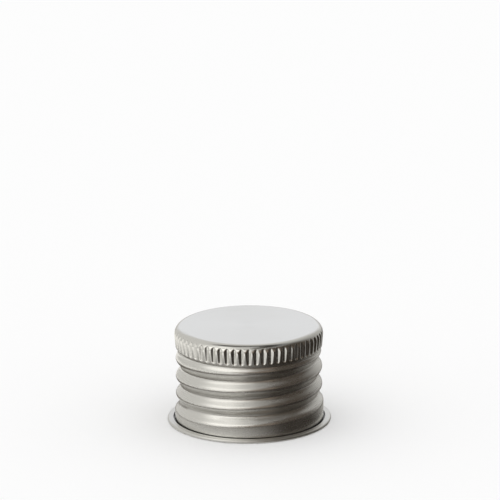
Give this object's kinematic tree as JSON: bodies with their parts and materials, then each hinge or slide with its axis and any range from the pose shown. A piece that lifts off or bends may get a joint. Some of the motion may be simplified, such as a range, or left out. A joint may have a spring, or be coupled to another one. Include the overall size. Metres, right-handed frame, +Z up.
{
  "type": "screw bottle cap",
  "caption": "Rolled aluminium screw cap with a fluted grip band, a rolled thread, a folded rim and a foam sealing liner.",
  "frame": {"origin": "centre of the rim's underside, on the cap's axis", "axes": "+Z up the axis to the closed top, -Y the front, from which a flute of the grip band faces the viewer"},
  "size_m": [0.0284, 0.0284, 0.0171],
  "materials": {
    "cap_shell": "satin clear-lacquered sheet with fine drawing marks round the axis",
    "liner": "fine-celled white foam with a smooth skin"
  },
  "bodies": {
    "root": {"cap_shell": "cap_shell", "liner": "liner"}
  },
  "joints": []
}
